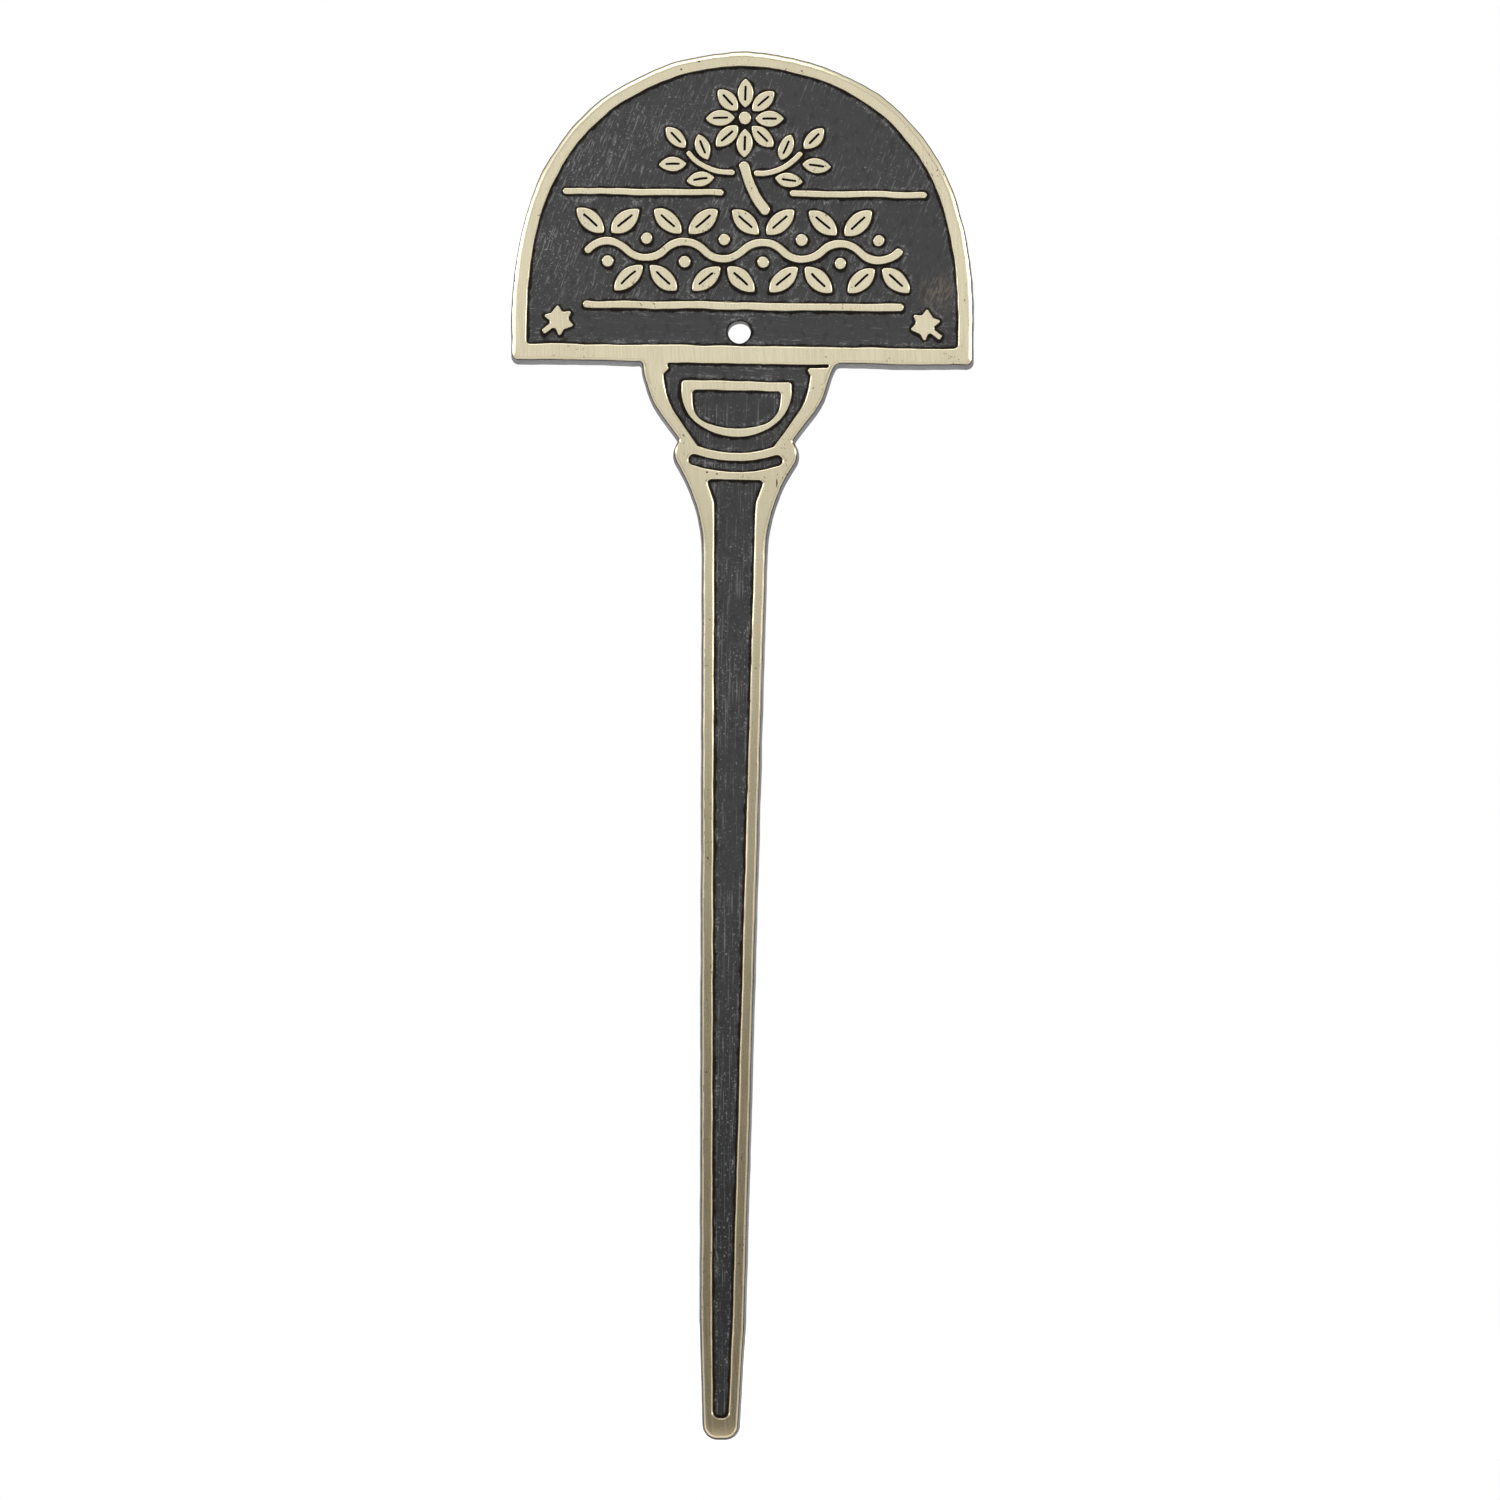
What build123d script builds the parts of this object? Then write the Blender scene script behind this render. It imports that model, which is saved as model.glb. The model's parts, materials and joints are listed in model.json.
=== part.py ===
from build123d import *
from math import atan2, cos, degrees, radians, sin, tan
import os

os.makedirs("parts", exist_ok=True)

# Plant label stake: one brass casting, an arched label head above a long grooved stake,
# painted dark all over and then rubbed bright on its raised faces.
# Millimetres, upright: X to the right seen from the front, which faces -Y, and Z up from the tip.

# Casting
thickness = 4.5  # raised front face to back face
edge_draft = 4.5  # degrees, the outer edge leans in toward the front
front_round = 0.25  # rounding of the rubbed edges round the sunk areas
outer_round = 0.4  # and of the front edge all round the outside
wall_share = 0.98  # of an edge, at most, goes into the rounding of its two corners
sink_depth = 0.9  # front face to the floor of the sunk areas
sink_draft = 10.0  # degrees

# Paint
paint_coat = 0.12
bright_edge = 0.5  # the outer edge is rubbed bare this far back

# Stake, full widths at the back face
tip_width = 6.3
tip_radius = 2.6
taper_height = 20.0  # the foot tapers more from here down
taper_width = 8.1  # there
taper_radius = 150.0
stake_length = 166.7  # tip to where the stake turns into the flare
stake_width = 11.9  # there
flare_radius = 30.0

# Collar and bowl, full widths at the back face
flare_height = 9.9
collar_width = 23.8
collar_radius = 3.6
neck_height = 2.4
neck_width = 20.9
neck_radius = 0.6
knee_height = 6.9
knee_width = 31.2
knee_radius = 12.0
bowl_height = 7.0  # knee to the foot of the head
bowl_width = 35.2

# Head
head_width = 83.4
head_height = 56.9
crown_radius = 43.0
crown_angle = 63.5  # degrees above the horizon where the crown meets the shoulder
side_radius = 68.0
side_angle = 17.4  # degrees above the horizon where the shoulder meets the side
base_corner = 1.3
base_fillet = 0.8

# Sunk field of the head and the hole through it
rim_width = 2.4
base_rim = 2.8
field_corner = 0.8
hole_diameter = 4.1
hole_height = 5.7  # above the foot of the head
hole_offset = -0.5  # drilled a little left of the middle

# Sunk bowl: how much metal is left beside it at its top, knee and foot
bowl_top_rail = 4.3
bowl_knee_rail = 3.0
bowl_foot_rail = 3.6
bowl_foot_rise = 1.2  # foot corners above the collar
bowl_foot_radius = 0.7
nib_drop = 1.05  # a nib at the top of each rail, just under the head
nib_reach = 0.95
nib_radius = 0.4
rail_gap = 0.7  # groove that parts the right rail from the head
rail_gap_length = 3.0
gap_radius = 0.3

# Ring in the bowl
cup_width = 20.1
cup_height = 10.3
cup_drop = 2.0  # straight part of its sides
cup_corner = 0.7
cup_roundness = 0.88
cup_clearance = 3.15  # below the top of the bowl
ring_side = 2.1
ring_top = 1.75
ring_bottom = 1.6

# Slot in the collar and groove in the stake
slot_length = 17.0
slot_width = 2.05
slot_sag = 1.15
slot_drop = 2.4  # middle of the slot below the collar
channel_drop = 4.7  # top of the groove below the collar
channel_mouth = 10.5
channel_mouth_radius = 0.7
channel_neck = 4.2  # height of the groove's widening
channel_neck_radius = 6.0
channel_end = 3.8  # end of the groove above the tip
channel_end_width = 2.8
channel_end_radius = 1.2
rail_width = 1.85

# Raised lines on the field
line_round = 0.2
top_line_width = 1.35
top_line_height = 31.0  # above the foot of the head
top_line_margins = (8.8, 8.5)  # outer ends of the left and right lines, in from the head's sides
top_line_gap = (-3.6, 8.1)  # their inner ends
low_line_width = 1.55
low_line_height = 10.4
low_line_margins = (12.8, 12.4)

# Raised leaves: a lens with a vein cut down its middle
leaf_tip_radius = 0.45
vein_width = 0.45
vein_share = 0.5

# Vine across the middle of the field
vine_height = 20.5  # above the foot of the head
vine_length = 56.0
vine_waves = 8
vine_sag = 1.5
vine_width = 1.6
vine_leaf = (7.0, 3.6)
vine_leaf_angle = 42.0
vine_leaf_gap = 0.55
berry_diameter = 2.3
berry_offset = 2.1

# Flower above it, heights above the foot of the head
flower_height = 44.6
flower_petals = 8
petal = (5.6, 3.1)
petal_ring = 1.75
eye_diameter = 2.5
stalk_foot = (3.9, 27.9)  # in the gap between the two upper lines
stalk_bend = (1.2, 32.0)
stalk_top = (0.0, 35.8)
stalk_width = 2.0
twig_width = 1.2
twig_foot = (2.2, 34.6)  # one twig on each side
twig_bend = (6.4, 35.4)
twig_tip = (10.0, 38.2)
twig_leaf = (5.4, 2.9)
twig_leaf_feet = ((6.5, 36.9), (5.3, 33.8), (10.3, 36.3), (10.6, 39.1))
twig_leaf_angles = (68.0, -8.0, -4.0, 46.0)

# Small lobed leaves in the lower corners
corner_leaf_margin = 8.3  # its middle, in from the head's side
corner_leaf_height = 7.1  # above the foot of the head
corner_reach = (3.5, 2.2, 3.4, 2.0, 3.0)  # lobes and hollows by turns, from its tip round
corner_angles = (0.0, 24.0, 50.0, 86.0, 118.0)
corner_stalk = 3.2
corner_stalk_width = 1.2
corner_round = 0.4
corner_leaf_turn = 38.0

# Heights, from the tip up
tip_z = paint_coat
taper_z = tip_z + taper_height
flare_z = tip_z + stake_length
collar_z = flare_z + flare_height
neck_z = collar_z + neck_height
knee_z = neck_z + knee_height
base_z = knee_z + bowl_height
top_z = base_z + head_height
cup_top = base_z - cup_clearance

# Depths, even about Y = 0 from the bright front to the painted back
front_y = -(thickness + paint_coat) / 2
back_y = front_y + thickness
floor_y = front_y + sink_depth
edge_run = thickness * tan(radians(edge_draft))

back_plane = Plane.XZ.offset(-back_y)
front_plane = Plane.XZ.offset(-front_y)
floor_plane = Plane.XZ.offset(-floor_y)

# Three tangent arcs make the arch: crown, side and, between them, a shoulder that meets the head's width
crown_reach = crown_radius * cos(radians(crown_angle))
side_bulge = side_radius * (1 - cos(radians(side_angle)))
shoulder_radius = (head_width / 2 - crown_reach - side_bulge) / (
    cos(radians(side_angle)) - cos(radians(crown_angle))
)
crown_gap = crown_radius - shoulder_radius
side_gap = side_radius - shoulder_radius
shoulder_x = crown_gap * cos(radians(crown_angle))
shoulder_z = top_z - crown_radius + crown_gap * sin(radians(crown_angle))
side_x = shoulder_x - side_gap * cos(radians(side_angle))
side_z = shoulder_z - side_gap * sin(radians(side_angle))


def rounded(points, radii):
    """A line with its inner corners rounded, each limited by the two edges beside it."""
    edges = [Vector(end) - Vector(start) for start, end in zip(points, points[1:])]
    half_turns = [radians(first.get_angle(second)) / 2 for first, second in zip(edges, edges[1:])]
    runs = [0, *(radius * tan(turn) for radius, turn in zip(radii, half_turns)), 0]
    used = [before + after for before, after in zip(runs, runs[1:])]
    rooms = [wall_share * edge.length / run for edge, run in zip(edges, used)]
    fitted = [radius * min(1, *pair) for radius, pair in zip(radii, zip(rooms, rooms[1:]))]
    return FilletPolyline(*points, radius=tuple(fitted))


def arch(inset):
    """The right half of the arch, a given distance inside the casting's back edge."""
    CenterArc((side_x, side_z), side_radius - inset, 0, side_angle)
    CenterArc((shoulder_x, shoulder_z), shoulder_radius - inset, side_angle, crown_angle - side_angle)
    CenterArc((0, top_z - crown_radius), crown_radius - inset, crown_angle, 90 - crown_angle)


def outline():
    """The whole casting's back edge."""
    points = [
        (0, tip_z),
        (tip_width / 2, tip_z),
        (taper_width / 2, taper_z),
        (stake_width / 2, flare_z),
        (collar_width / 2, collar_z),
        (neck_width / 2, neck_z),
        (knee_width / 2, knee_z),
        (bowl_width / 2, base_z),
        (head_width / 2, base_z),
        (head_width / 2, side_z),
    ]
    stake_radii = [tip_radius, taper_radius, flare_radius]
    head_radii = [collar_radius, neck_radius, knee_radius, base_fillet, base_corner]
    with BuildSketch() as shape:
        with BuildLine():
            rounded(points, stake_radii + head_radii)
            arch(0)
            mirror(about=Plane.YZ)
        make_face()
    return shape.sketch


def field():
    """The sunk field of the head: the arch drawn smaller, cut off straight at its foot."""
    inset = rim_width + edge_run
    half = head_width / 2 - inset
    foot_z = base_z + base_rim + edge_run
    with BuildSketch() as shape:
        with BuildLine():
            Polyline((0, base_z), (half, base_z), (half, side_z))
            arch(inset)
            mirror(about=Plane.YZ)
        make_face()
        with Locations((0, foot_z)):
            Rectangle(head_width, head_height, align=(Align.CENTER, Align.MIN), mode=Mode.INTERSECT)
        corners = shape.vertices().group_by(Axis.Y)[0]
        fillet(corners, min(field_corner, wall_share * (side_z - foot_z)))
    return shape.sketch


def bowl():
    """The sunk bowl: a nib on its left rail, and a groove that runs on above the right rail."""
    top = bowl_width / 2 - bowl_top_rail
    knee = knee_width / 2 - bowl_knee_rail
    foot = neck_width / 2 - bowl_foot_rail
    foot_z = collar_z + bowl_foot_rise
    hollow_z = base_z - 2 * nib_drop
    points = [
        (foot, foot_z),
        (knee, knee_z),
        (top, hollow_z),
        (top - nib_reach, base_z - rail_gap),
        (top + rail_gap_length, base_z - rail_gap),
        (top + rail_gap_length, base_z),
        (-top, base_z),
        (nib_reach - top, base_z - nib_drop),
        (-top, hollow_z),
        (-knee, knee_z),
        (-foot, foot_z),
    ]
    nib = [nib_radius] * 2
    radii = [knee_radius, *nib, gap_radius, gap_radius, *nib, nib_radius, knee_radius]
    with BuildSketch() as shape:
        with BuildLine():
            rounded(points, radii)
            ThreePointArc((-foot, foot_z), (0, collar_z), (foot, foot_z))
        make_face()
        fillet(shape.vertices().group_by(Axis.Y)[0], bowl_foot_radius)
    return shape.sketch


def cup(width, top, bottom):
    """A cup with a flat top and a bottom of three tangent arcs."""
    half = width / 2
    spring = top - cup_drop
    rise = spring - bottom
    side = cup_roundness * rise
    low = ((half - side) ** 2 + rise**2 - side**2) / (2 * (rise - side))
    turn = degrees(atan2(bottom + low - spring, half - side))
    with BuildSketch() as shape:
        with BuildLine():
            FilletPolyline((0, top), (half, top), (half, spring), radius=cup_corner)
            CenterArc((half - side, spring), side, 0, -turn)
            CenterArc((0, bottom + low), low, -turn, turn - 90)
            mirror(about=Plane.YZ)
        make_face()
    return shape.sketch


def cup_outside():
    """The ring's outer edge."""
    return cup(cup_width, cup_top, cup_top - cup_height)


def cup_inside():
    """The ring's inner edge."""
    return cup(cup_width - 2 * ring_side, cup_top - ring_top, cup_top - cup_height + ring_bottom)


def hole():
    """The hole below the label."""
    with BuildSketch() as shape:
        with Locations((hole_offset, base_z + hole_height)):
            Circle(hole_diameter / 2)
    return shape.sketch


def slot():
    """The curved slot in the collar."""
    half = (slot_length - slot_width) / 2
    low = collar_z - slot_drop
    ends = low + slot_sag
    with BuildSketch() as shape:
        SlotArc(Edge.make_three_point_arc((-half, ends), (0, low), (half, ends)), slot_width)
    return shape.sketch


def channel():
    """The groove down the stake, between two rails of even width down to the foot."""
    end_z = tip_z + channel_end
    top = collar_z - channel_drop
    neck = top - channel_neck
    rails = rail_width + edge_run
    widening = (stake_width - taper_width) * (neck - taper_z) / (flare_z - taper_z)
    points = [
        (0, end_z),
        (channel_end_width / 2, end_z),
        (taper_width / 2 - rails, taper_z),
        ((taper_width + widening) / 2 - rails, neck),
        (channel_mouth / 2, top),
        (0, top),
    ]
    with BuildSketch() as shape:
        with BuildLine():
            rounded(points, [channel_end_radius, taper_radius, channel_neck_radius, channel_mouth_radius])
            mirror(about=Plane.YZ)
        make_face()
    return shape.sketch


def bar(ends, width):
    """A straight line with round ends, drawn about its own middle."""
    with BuildSketch() as shape:
        SlotOverall(ends[1] - ends[0], width)
    return shape.sketch


def leaf(size):
    """A leaf or petal that points along its own X from its foot."""
    length, width = size
    with BuildSketch() as shape:
        with BuildLine():
            SagittaArc((0, 0), (length, 0), width / 2)
            SagittaArc((length, 0), (0, 0), width / 2)
        make_face()
        fillet(shape.vertices(), leaf_tip_radius)
    return shape.sketch


def corner_leaf():
    """A lobed leaf about its own middle, its tip along its own X and its stalk the other way."""
    turns = [radians(angle) for angle in corner_angles]
    tip, *edge = [(reach * cos(turn), reach * sin(turn)) for reach, turn in zip(corner_reach, turns)]
    root = -min(corner_reach) / 2
    edge += [(root, corner_stalk_width / 2), (-corner_stalk, corner_stalk_width / 2)]
    lower = [(x, -y) for x, y in reversed(edge)]
    with BuildSketch() as shape:
        with BuildLine():
            FilletPolyline(tip, *edge, *lower, radius=corner_round, close=True)
        make_face()
    return shape.sketch


def stroke(line, width):
    """A curved line of even width with round ends."""
    with BuildSketch() as shape:
        SlotArc(line, width)
    return shape.sketch


def dot(diameter):
    with BuildSketch() as shape:
        Circle(diameter / 2)
    return shape.sketch


def place(x, height, angle=0):
    """A plane on the field's floor, at a height above the foot of the head."""
    return Plane(
        origin=(x, floor_y, base_z + height),
        x_dir=(cos(radians(angle)), 0, sin(radians(angle))),
        z_dir=(0, -1, 0),
    )


def raised(shape, plane, inner=None, vein=0):
    """One ornament that stands on the floor, as high as the front face."""
    with BuildPart() as ornament:
        with BuildSketch(plane):
            add(shape)
        extrude(amount=sink_depth, taper=sink_draft)
        if inner:
            with BuildSketch(plane.offset(sink_depth)):
                add(inner)
            extrude(amount=-sink_depth, taper=sink_draft, mode=Mode.SUBTRACT)
        fillet(ornament.faces().sort_by(Axis.Y)[0].edges(), line_round)
        if vein:
            with BuildSketch(plane):
                with Locations((vein / 2, 0)):
                    SlotOverall(vein * vein_share, vein_width)
            extrude(amount=sink_depth, mode=Mode.SUBTRACT)
    return ornament.part


def raised_leaf(size, x, height, angle):
    return raised(leaf(size), place(x, height, angle), vein=size[0])


def line_at(ends, width, height):
    return raised(bar(ends, width), place((ends[0] + ends[1]) / 2, height))


# Lines: two above with a gap between them, and one below
left_side = -head_width / 2
right_side = head_width / 2
left_line = (left_side + top_line_margins[0], top_line_gap[0])
right_line = (top_line_gap[1], right_side - top_line_margins[1])
low_line = (left_side + low_line_margins[0], right_side - low_line_margins[1])
ornaments = [
    line_at(left_line, top_line_width, top_line_height),
    line_at(right_line, top_line_width, top_line_height),
    line_at(low_line, low_line_width, low_line_height),
]

# Vine: arcs that curve up and down by turns, with a pair of leaves on each crest and a berry in each hollow
wave_step = vine_length / vine_waves
with BuildLine() as wave:
    for i in range(vine_waves):
        start = -vine_length / 2 + i * wave_step
        SagittaArc((start, 0), (start + wave_step, 0), vine_sag * (-1) ** i)
ornaments.append(raised(stroke(wave.wire(), vine_width), place(0, vine_height)))
for i in range(vine_waves):
    side = (-1) ** i
    x = -vine_length / 2 + (i + 0.5) * wave_step
    foot = vine_height + side * (vine_sag + vine_width / 2 + vine_leaf_gap)
    for lean in (vine_leaf_angle, 180 - vine_leaf_angle):
        step = vine_leaf_gap * (1 if lean < 90 else -1)
        ornaments.append(raised_leaf(vine_leaf, x + step, foot, side * lean))
    ornaments.append(raised(dot(berry_diameter), place(x, vine_height - side * berry_offset)))

# Flower: petals round an eye, on a bent stalk between two leafy twigs
ornaments.append(raised(dot(eye_diameter), place(0, flower_height)))
for i in range(flower_petals):
    angle = 90 + 360 / flower_petals * i
    x = petal_ring * cos(radians(angle))
    height = flower_height + petal_ring * sin(radians(angle))
    ornaments.append(raised_leaf(petal, x, height, angle))
stalk = Edge.make_three_point_arc(stalk_foot, stalk_bend, stalk_top)
ornaments.append(raised(stroke(stalk, stalk_width), place(0, 0)))
for side in (1, -1):
    points = [(side * x, height) for x, height in (twig_foot, twig_bend, twig_tip)]
    ornaments.append(raised(stroke(Edge.make_three_point_arc(*points), twig_width), place(0, 0)))
    for (x, height), angle in zip(twig_leaf_feet, twig_leaf_angles):
        ornaments.append(raised_leaf(twig_leaf, side * x, height, angle if side > 0 else 180 - angle))

# A small leaf in each lower corner
for side, turn in ((1, 180 - corner_leaf_turn), (-1, corner_leaf_turn)):
    x = side * (head_width / 2 - corner_leaf_margin)
    ornaments.append(raised(corner_leaf(), place(x, corner_leaf_height, turn)))

ring = raised(cup_outside(), floor_plane, inner=cup_inside())

with BuildPart() as brass_casting:
    with BuildSketch(back_plane):
        add(outline())
    extrude(amount=thickness, taper=edge_draft)
    for sunk in (field(), bowl(), slot(), channel()):
        with BuildSketch(front_plane):
            add(sunk)
        extrude(amount=-sink_depth, taper=sink_draft, mode=Mode.SUBTRACT)
    front = brass_casting.faces().filter_by(Plane.XZ).sort_by(Axis.Y)[0]
    fillet([edge for wire in front.inner_wires() for edge in wire.edges()], front_round)
    front = brass_casting.faces().filter_by(Plane.XZ).sort_by(Axis.Y)[0]
    fillet(front.outer_wire().edges(), outer_round)
    add(ornaments)
    add(ring)
    with BuildSketch(back_plane):
        add(hole())
    extrude(amount=thickness, mode=Mode.SUBTRACT)
brass_casting.part.label = "brass_casting"
export_step(brass_casting.part, "parts/brass_casting.step")

# Paint on the floor of each sunk area, shaped by the metal round it
with BuildPart() as label_field_paint:
    with BuildSketch(floor_plane):
        add(field())
        add(hole(), mode=Mode.SUBTRACT)
    extrude(amount=paint_coat)
    add(brass_casting.part, mode=Mode.SUBTRACT)
label_field_paint.part.label = "label_field_paint"
export_step(label_field_paint.part, "parts/label_field_paint.step")

with BuildPart() as bowl_paint:
    with BuildSketch(floor_plane):
        add(bowl())
        add(cup_outside(), mode=Mode.SUBTRACT)
    extrude(amount=paint_coat)
    add(brass_casting.part, mode=Mode.SUBTRACT)
bowl_paint.part.label = "bowl_paint"
export_step(bowl_paint.part, "parts/bowl_paint.step")

with BuildPart() as cup_paint:
    with BuildSketch(floor_plane):
        add(cup_inside())
    extrude(amount=paint_coat)
    add(brass_casting.part, mode=Mode.SUBTRACT)
cup_paint.part.label = "cup_paint"
export_step(cup_paint.part, "parts/cup_paint.step")

with BuildPart() as collar_paint:
    with BuildSketch(floor_plane):
        add(slot())
    extrude(amount=paint_coat)
    add(brass_casting.part, mode=Mode.SUBTRACT)
collar_paint.part.label = "collar_paint"
export_step(collar_paint.part, "parts/collar_paint.step")

with BuildPart() as stake_channel_paint:
    with BuildSketch(floor_plane):
        add(channel())
    extrude(amount=paint_coat)
    add(brass_casting.part, mode=Mode.SUBTRACT)
stake_channel_paint.part.label = "stake_channel_paint"
export_step(stake_channel_paint.part, "parts/stake_channel_paint.step")

# Paint round the outer edge and over the back, rubbed off where the edge meets the front
with BuildPart() as edge_and_back_paint:
    with BuildSketch(back_plane.offset(-paint_coat)):
        offset(outline(), amount=paint_coat)
    extrude(amount=thickness + paint_coat - bright_edge, taper=edge_draft)
    with BuildSketch(back_plane):
        add(outline())
    extrude(amount=thickness, taper=edge_draft, mode=Mode.SUBTRACT)
    with BuildSketch(back_plane):
        add(hole())
    extrude(amount=-paint_coat, mode=Mode.SUBTRACT)
edge_and_back_paint.part.label = "edge_and_back_paint"
export_step(edge_and_back_paint.part, "parts/edge_and_back_paint.step")
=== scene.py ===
import json
import math
from collections import defaultdict

import bpy
import bmesh
from mathutils import Matrix, Vector, noise
from mathutils.bvhtree import BVHTree
from mathutils.geometry import delaunay_2d_cdt
from mathutils.kdtree import KDTree


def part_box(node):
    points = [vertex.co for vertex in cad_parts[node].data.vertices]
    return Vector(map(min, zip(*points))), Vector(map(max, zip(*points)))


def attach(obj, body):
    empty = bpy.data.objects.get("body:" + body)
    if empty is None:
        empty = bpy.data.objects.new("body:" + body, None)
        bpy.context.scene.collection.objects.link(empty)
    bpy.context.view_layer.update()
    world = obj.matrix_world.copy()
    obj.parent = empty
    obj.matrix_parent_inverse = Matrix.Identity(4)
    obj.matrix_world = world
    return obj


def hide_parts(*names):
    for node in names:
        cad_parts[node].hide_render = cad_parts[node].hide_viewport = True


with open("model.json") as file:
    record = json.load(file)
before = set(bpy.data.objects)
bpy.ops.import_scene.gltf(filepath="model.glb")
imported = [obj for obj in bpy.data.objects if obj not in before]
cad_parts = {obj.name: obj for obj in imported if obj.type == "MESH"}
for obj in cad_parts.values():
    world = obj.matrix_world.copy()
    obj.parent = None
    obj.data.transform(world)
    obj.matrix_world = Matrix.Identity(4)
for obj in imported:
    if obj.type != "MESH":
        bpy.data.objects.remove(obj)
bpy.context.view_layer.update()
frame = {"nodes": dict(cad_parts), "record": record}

mm = 0.001
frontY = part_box("brass_casting")[0][1]  # the rubbed front faces
scene = bpy.context.scene
scene.view_settings.view_transform = "Standard"
print("frame loaded:", sorted(frame["nodes"]))


# shader helpers

def feed(tree, socket, value):  # a link or a fixed value
    if isinstance(value, bpy.types.NodeSocket):
        tree.links.new(value, socket)
    else:
        socket.default_value = value


def addNode(tree, kind, inputs=None, **settings):
    node = tree.nodes.new(kind)
    for name, value in settings.items():
        setattr(node, name, value)
    for name, value in (inputs or {}).items():
        feed(tree, node.inputs[name], value)
    return node


def math2(tree, operation, first, second, clamp=False):
    inputs = {0: first, 1: second}
    return addNode(tree, "ShaderNodeMath", inputs, operation=operation, use_clamp=clamp).outputs[0]


def times(tree, first, second):
    return math2(tree, "MULTIPLY", first, second)


def vectorMath(tree, operation, first, second):
    return addNode(tree, "ShaderNodeVectorMath", {0: first, 1: second}, operation=operation).outputs


def axes(tree, vector):
    return addNode(tree, "ShaderNodeSeparateXYZ", {"Vector": vector}).outputs


def attribute(tree, name):
    return addNode(tree, "ShaderNodeAttribute", attribute_name=name).outputs["Fac"]


def ramp(tree, value, low, high, bottom=0.0, top=1.0):
    inputs = {"Value": value, "From Min": low, "From Max": high, "To Min": bottom, "To Max": top}
    return addNode(tree, "ShaderNodeMapRange", inputs, interpolation_type="SMOOTHSTEP").outputs[0]


def fall(tree, value, low, high):
    return ramp(tree, value, low, high, 1.0, 0.0)


def mixColour(tree, factor, first, second):
    node = addNode(tree, "ShaderNodeMix", data_type="RGBA")
    for name, value in {"Factor": factor, "A": first, "B": second}.items():
        feed(tree, next(s for s in node.inputs if s.name == name and s.enabled), value)
    return next(s for s in node.outputs if s.enabled)


def mixValue(tree, factor, first, second):
    span = math2(tree, "SUBTRACT", second, first)
    return math2(tree, "ADD", times(tree, span, factor), first)


def speckle(tree, vector, size, turn=0.0, detail=2.0, rough=0.5):  # noise with a grain of size, in mm
    turning = {"Vector": vector, "Rotation": (0, math.radians(turn), 0)}
    turned = addNode(tree, "ShaderNodeMapping", turning).outputs[0]
    scale = [1 / (s * mm) for s in size]
    placed = addNode(tree, "ShaderNodeMapping", {"Vector": turned, "Scale": scale}).outputs[0]
    inputs = {"Vector": placed, "Scale": 1.0, "Detail": detail, "Roughness": rough}
    return addNode(tree, "ShaderNodeTexNoise", inputs).outputs[0]


def bump(tree, height, distance):
    inputs = {"Height": height, "Distance": distance * mm, "Strength": 1.0}
    return addNode(tree, "ShaderNodeBump", inputs).outputs[0]


def newGroup(name, inputs, outputs):
    group = bpy.data.node_groups.new(name, "ShaderNodeTree")
    for label, kind in inputs:
        group.interface.new_socket(name=label, in_out="INPUT", socket_type=kind)
    for label, kind in outputs:
        group.interface.new_socket(name=label, in_out="OUTPUT", socket_type=kind)
    return group, group.nodes.new("NodeGroupInput").outputs, group.nodes.new("NodeGroupOutput").inputs


def newMaterial(name):
    material = bpy.data.materials.new(name)
    material.use_nodes = True
    tree = material.node_tree
    tree.nodes.clear()
    shader = tree.nodes.new("ShaderNodeBsdfPrincipled")
    addNode(tree, "ShaderNodeOutputMaterial", {"Surface": shader.outputs[0]})
    coords = tree.nodes.new("ShaderNodeTexCoord").outputs["Object"]
    return material, tree, shader, coords


# charcoal coat, used on the films and on the walls of the casting; lengths in mm

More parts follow.
